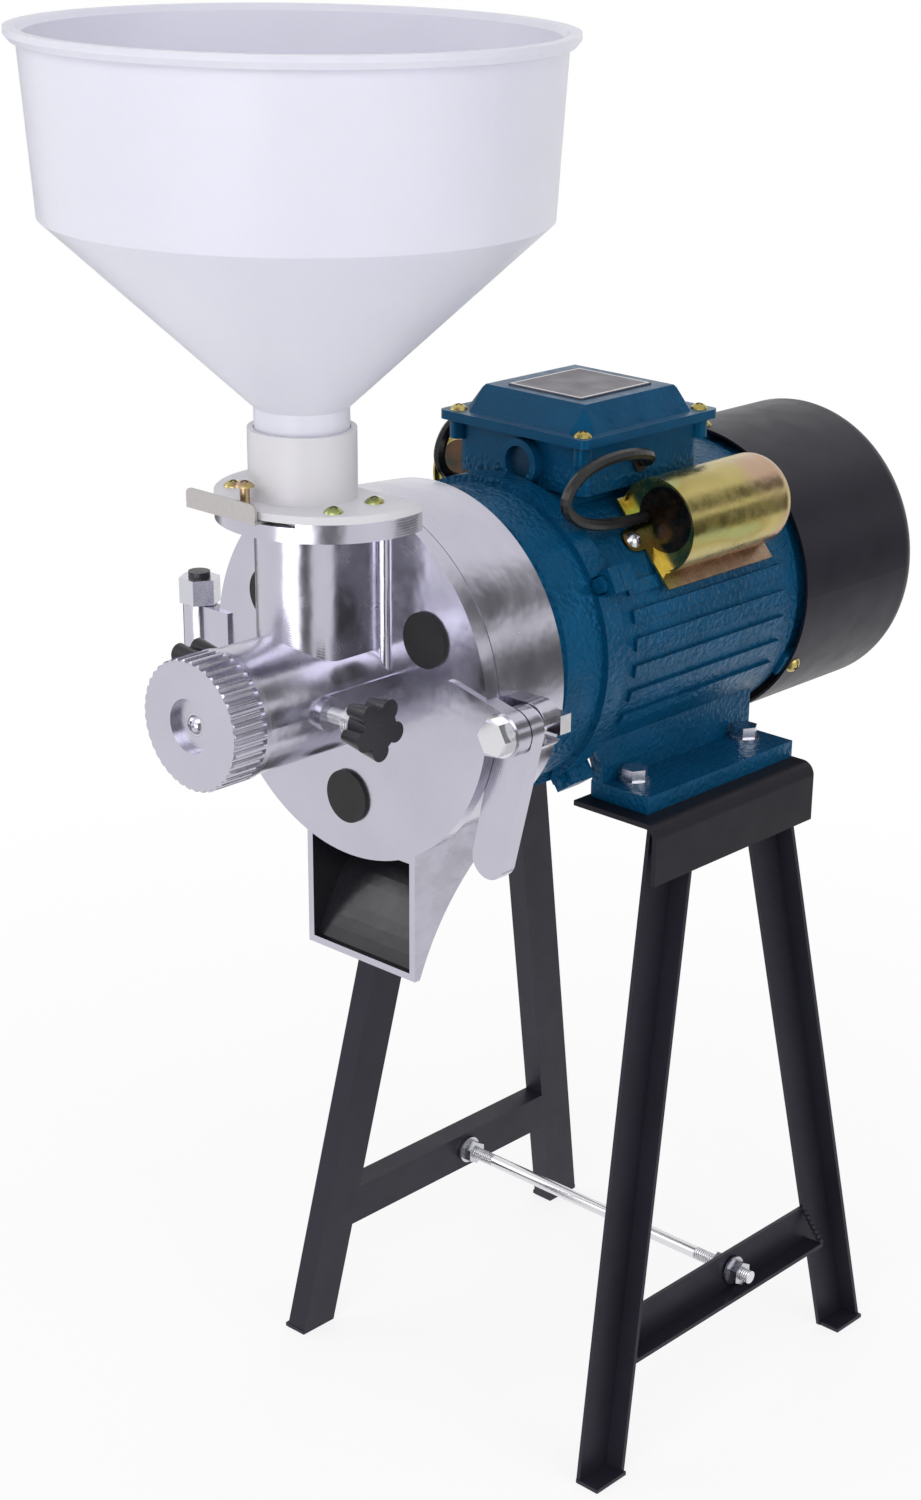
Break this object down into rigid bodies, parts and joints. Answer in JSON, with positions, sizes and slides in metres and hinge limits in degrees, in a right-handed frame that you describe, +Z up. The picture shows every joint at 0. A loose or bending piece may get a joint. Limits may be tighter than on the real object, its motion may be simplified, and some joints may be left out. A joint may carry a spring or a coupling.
{
  "type": "electric grain mill",
  "caption": "Plate mill for grain with a feed hopper, front cover on a hinge, capacitor-run motor behind it and a splayed angle-steel stand.",
  "frame": {"origin": "on the floor, under the middle of the machine's box", "axes": "+X to the right of someone facing the mill, +Y from the mill towards the fan, +Z up"},
  "size_m": [0.267, 0.5592, 0.8073],
  "materials": {
    "satin_black": "satin black enamel",
    "fan_black": "black stove enamel",
    "motor_blue": "gloss petrol blue hammer enamel",
    "cast_aluminium": "polished cast aluminium",
    "machined_steel": "turned steel",
    "zinc_steel": "bright zinc plate",
    "yellow_zinc": "iridescent yellow zinc plate",
    "chrome_rod": "bright chrome",
    "plate_iron": "ground cast iron",
    "core_steel": "laminated steel",
    "copper": "varnished copper wire",
    "black_plastic": "moulded black plastic",
    "cap_plastic": "black capacitor can",
    "black_rubber": "soft black rubber",
    "lead_rubber": "glossy black sleeving",
    "hopper_plastic": "milky translucent polyethylene",
    "white_plastic": "white nylon",
    "knob_metal": "turned aluminium",
    "plate_metal": "bare rolled aluminium",
    "plug_blue": "blue plastic"
  },
  "bodies": {
    "base": {"rail_right": "satin_black", "rail_left": "satin_black", "leg_front_right": "satin_black", "leg_rear_right": "satin_black", "leg_front_left": "satin_black", "leg_rear_left": "satin_black", "crossbar_right": "satin_black", "crossbar_left": "satin_black", "tie_rod": "chrome_rod", "tie_rod_nuts": "zinc_steel", "foot_bolts": "zinc_steel", "foot_nuts": "zinc_steel", "front_bell": "motor_blue", "motor_frame": "motor_blue", "rear_bell": "motor_blue", "bell_bolts": "zinc_steel", "stator": "core_steel", "windings": "copper", "bearing_outer_races": "machined_steel", "drum_bolts": "zinc_steel", "fan_cover": "fan_black", "fan_cover_screws": "yellow_zinc", "terminal_box": "motor_blue", "box_gasket": "black_rubber", "box_lid": "motor_blue", "lid_screws": "yellow_zinc", "nameplate": "plate_metal", "terminal_block": "black_plastic", "conduit_plug": "plug_blue", "lead_grommets": "black_rubber", "capacitors": "cap_plastic", "capacitor_covers": "yellow_zinc", "capacitor_screws": "zinc_steel", "capacitor_leads": "lead_rubber", "drum": "cast_aluminium", "chute": "cast_aluminium", "shaft_seal": "black_rubber", "hinge_pin": "machined_steel", "hinge_nut": "zinc_steel"},
    "shaft": {"motor_shaft": "machined_steel", "rotor": "core_steel", "bearing_inner_races": "machined_steel", "cooling_fan": "black_plastic", "rotating_plate": "plate_iron"},
    "cover": {"front_cover": "cast_aluminium", "cover_seal": "black_rubber", "cover_plugs": "black_rubber", "feed_collar": "white_plastic", "collar_screws": "yellow_zinc"},
    "sleeve": {"adjusting_sleeve": "machined_steel", "fixed_plate": "plate_iron"},
    "auger": {"feed_auger": "plate_iron"},
    "adjuster": {"adjusting_knob": "knob_metal", "adjusting_screw": "machined_steel"},
    "lock_right": {"lock_knob_right": "black_plastic"},
    "lock_left": {"lock_knob_left": "black_plastic"},
    "latch": {"latch_bolt": "chrome_rod", "latch_lever": "cast_aluminium"},
    "gate": {"feed_gate": "zinc_steel"},
    "hopper": {"hopper": "hopper_plastic"}
  },
  "joints": [
    {"name": "shaft_spin", "type": "hinge", "parent": "base", "child": "shaft", "pos_m": [0, -0.048, 0.484], "axis": [0, 1, 0], "continuous": true},
    {"name": "cover_swing", "type": "hinge", "parent": "base", "child": "cover", "pos_m": [-0.1175, -0.1141, 0.484], "axis": [0, 0, -1], "range_deg": [0, 110]},
    {"name": "knob_turn", "type": "hinge", "parent": "cover", "child": "adjuster", "pos_m": [0, -0.208, 0.484], "axis": [0, 1, 0], "range_deg": [0, 540]},
    {"name": "plate_advance", "type": "slide", "parent": "cover", "child": "sleeve", "axis": [0, 1, 0], "range_m": [0, 0.003]},
    {"name": "auger_spin", "type": "hinge", "parent": "sleeve", "child": "auger", "pos_m": [0, -0.148, 0.484], "axis": [0, 1, 0], "continuous": true},
    {"name": "right_lock_turn", "type": "hinge", "parent": "cover", "child": "lock_right", "pos_m": [0.06, -0.1636, 0.484], "axis": [1, 0, 0], "continuous": true},
    {"name": "left_lock_turn", "type": "hinge", "parent": "cover", "child": "lock_left", "pos_m": [-0.06, -0.1636, 0.484], "axis": [-1, 0, 0], "continuous": true},
    {"name": "latch_turn", "type": "hinge", "parent": "cover", "child": "latch", "pos_m": [0.111, -0.108, 0.48], "axis": [0, -1, 0], "range_deg": [0, 90]},
    {"name": "gate_pull", "type": "slide", "parent": "cover", "child": "gate", "axis": [0, -1, 0], "range_m": [0, 0.048]},
    {"name": "hopper_lift", "type": "slide", "parent": "cover", "child": "hopper", "axis": [0, 0, 1], "range_m": [0, 0.05]}
  ],
  "couplings": [
    {"joint": "knob_turn", "follows": "plate_advance", "rad_per_m": 3141.5},
    {"joint": "auger_spin", "follows": "shaft_spin", "ratio": 1}
  ]
}
